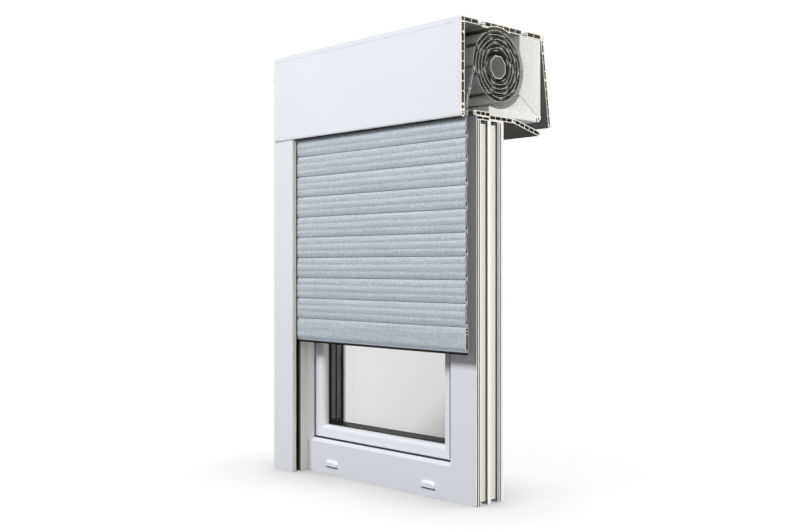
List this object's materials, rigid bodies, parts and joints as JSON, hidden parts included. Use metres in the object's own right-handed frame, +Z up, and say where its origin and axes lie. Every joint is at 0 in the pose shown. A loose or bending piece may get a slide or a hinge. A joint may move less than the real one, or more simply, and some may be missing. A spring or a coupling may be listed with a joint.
{
  "type": "exterior roller shutter",
  "caption": "Top-mounted roller shutter box cut open at one end, with rolled slats on an octagonal shaft, foam insulation, guide rail, half-lowered curtain and the glazed window it stands on.",
  "frame": {"origin": "middle of the underside of the window frame's sill, where the piece stands", "axes": "+X along the window to the cut-open end, +Y from the outside into the room, +Z up"},
  "size_m": [0.552, 0.2618, 0.892],
  "materials": {
    "white_plastic": "satin",
    "foam": "matte",
    "black_rubber": "matte",
    "dark_plastic": "matte",
    "motor_steel": "satin",
    "slat_metal": "satin",
    "shaft_steel": "satin",
    "handle_metal": "satin",
    "glass": "polished"
  },
  "bodies": {
    "window_and_box": {"box_front_panel": "white_plastic", "box_top_panel": "white_plastic", "box_base_panel": "white_plastic", "frame_adapter": "white_plastic", "slot_seal_blade": "black_rubber", "insulation_rear": "foam", "insulation_base": "foam", "corner_profile": "white_plastic", "left_end_plate": "white_plastic", "motor_head": "dark_plastic", "motor_tube": "motor_steel", "guide_rail": "white_plastic", "rail_brushes": "black_rubber", "frame_sill": "white_plastic", "frame_head": "white_plastic", "frame_left_jamb": "white_plastic", "frame_right_jamb": "white_plastic", "stop_gasket": "black_rubber", "drain_caps": "white_plastic", "hinge_pins": "shaft_steel"},
    "winding_shaft": {"shaft_tube": "shaft_steel", "crown_ring": "dark_plastic", "drive_wheel": "dark_plastic", "slat_hangers": "shaft_steel", "wound_slats_1": "slat_metal", "wound_slats_2": "slat_metal", "wound_slats_3": "slat_metal", "wound_slats_4": "slat_metal", "wound_slats_5": "slat_metal"},
    "curtain": {"slat_01": "slat_metal", "slat_02": "slat_metal", "slat_03": "slat_metal", "slat_04": "slat_metal", "slat_05": "slat_metal", "slat_06": "slat_metal", "slat_07": "slat_metal", "slat_08": "slat_metal", "slat_09": "slat_metal", "slat_10": "slat_metal", "slat_11": "slat_metal", "end_bar": "slat_metal", "end_bar_strip": "black_rubber"},
    "sash": {"sash_sill": "white_plastic", "sash_head": "white_plastic", "sash_left_stile": "white_plastic", "sash_right_stile": "white_plastic", "pane_outer": "glass", "pane_middle": "glass", "pane_inner": "glass", "glass_spacers": "dark_plastic", "glass_gaskets": "black_rubber", "glazing_beads": "white_plastic", "hinge_knuckles": "shaft_steel", "handle_rose": "handle_metal"},
    "handle": {"handle_lever": "handle_metal"},
    "rear_cover": {"rear_cover": "white_plastic"},
    "base_cover": {"base_cover": "white_plastic"}
  },
  "joints": [
    {"name": "shaft_turn", "type": "hinge", "parent": "window_and_box", "child": "winding_shaft", "pos_m": [0, 0.0227, 0.8118], "axis": [-1, 0, 0], "range_deg": [-236, 350]},
    {"name": "curtain_travel", "type": "slide", "parent": "window_and_box", "child": "curtain", "axis": [0, 0, 1], "range_m": [-0.276, 0.41], "deforming": ["slat_01", "slat_02", "slat_03", "slat_04", "slat_05", "slat_06", "slat_07", "slat_08", "slat_09", "slat_10", "slat_11"]},
    {"name": "sash_swing", "type": "hinge", "parent": "window_and_box", "child": "sash", "pos_m": [0.246, 0.046, 0], "axis": [0, 0, -1], "range_deg": [0, 90]},
    {"name": "handle_turn", "type": "hinge", "parent": "sash", "child": "handle", "pos_m": [-0.215, 0.053, 0.42], "axis": [0, -1, 0], "range_deg": [0, 180]},
    {"name": "rear_cover_swing", "type": "hinge", "parent": "window_and_box", "child": "rear_cover", "pos_m": [0, 0.15525, 0.87725], "axis": [1, 0, 0], "range_deg": [-8.1, 30]},
    {"name": "base_cover_swing", "type": "hinge", "parent": "window_and_box", "child": "base_cover", "pos_m": [0, 0.0695, 0.716], "axis": [-1, 0, 0], "range_deg": [-13, 12]}
  ],
  "couplings": [
    {"joint": "curtain_travel", "follows": "shaft_turn", "m_per_rad": 0.067}
  ]
}
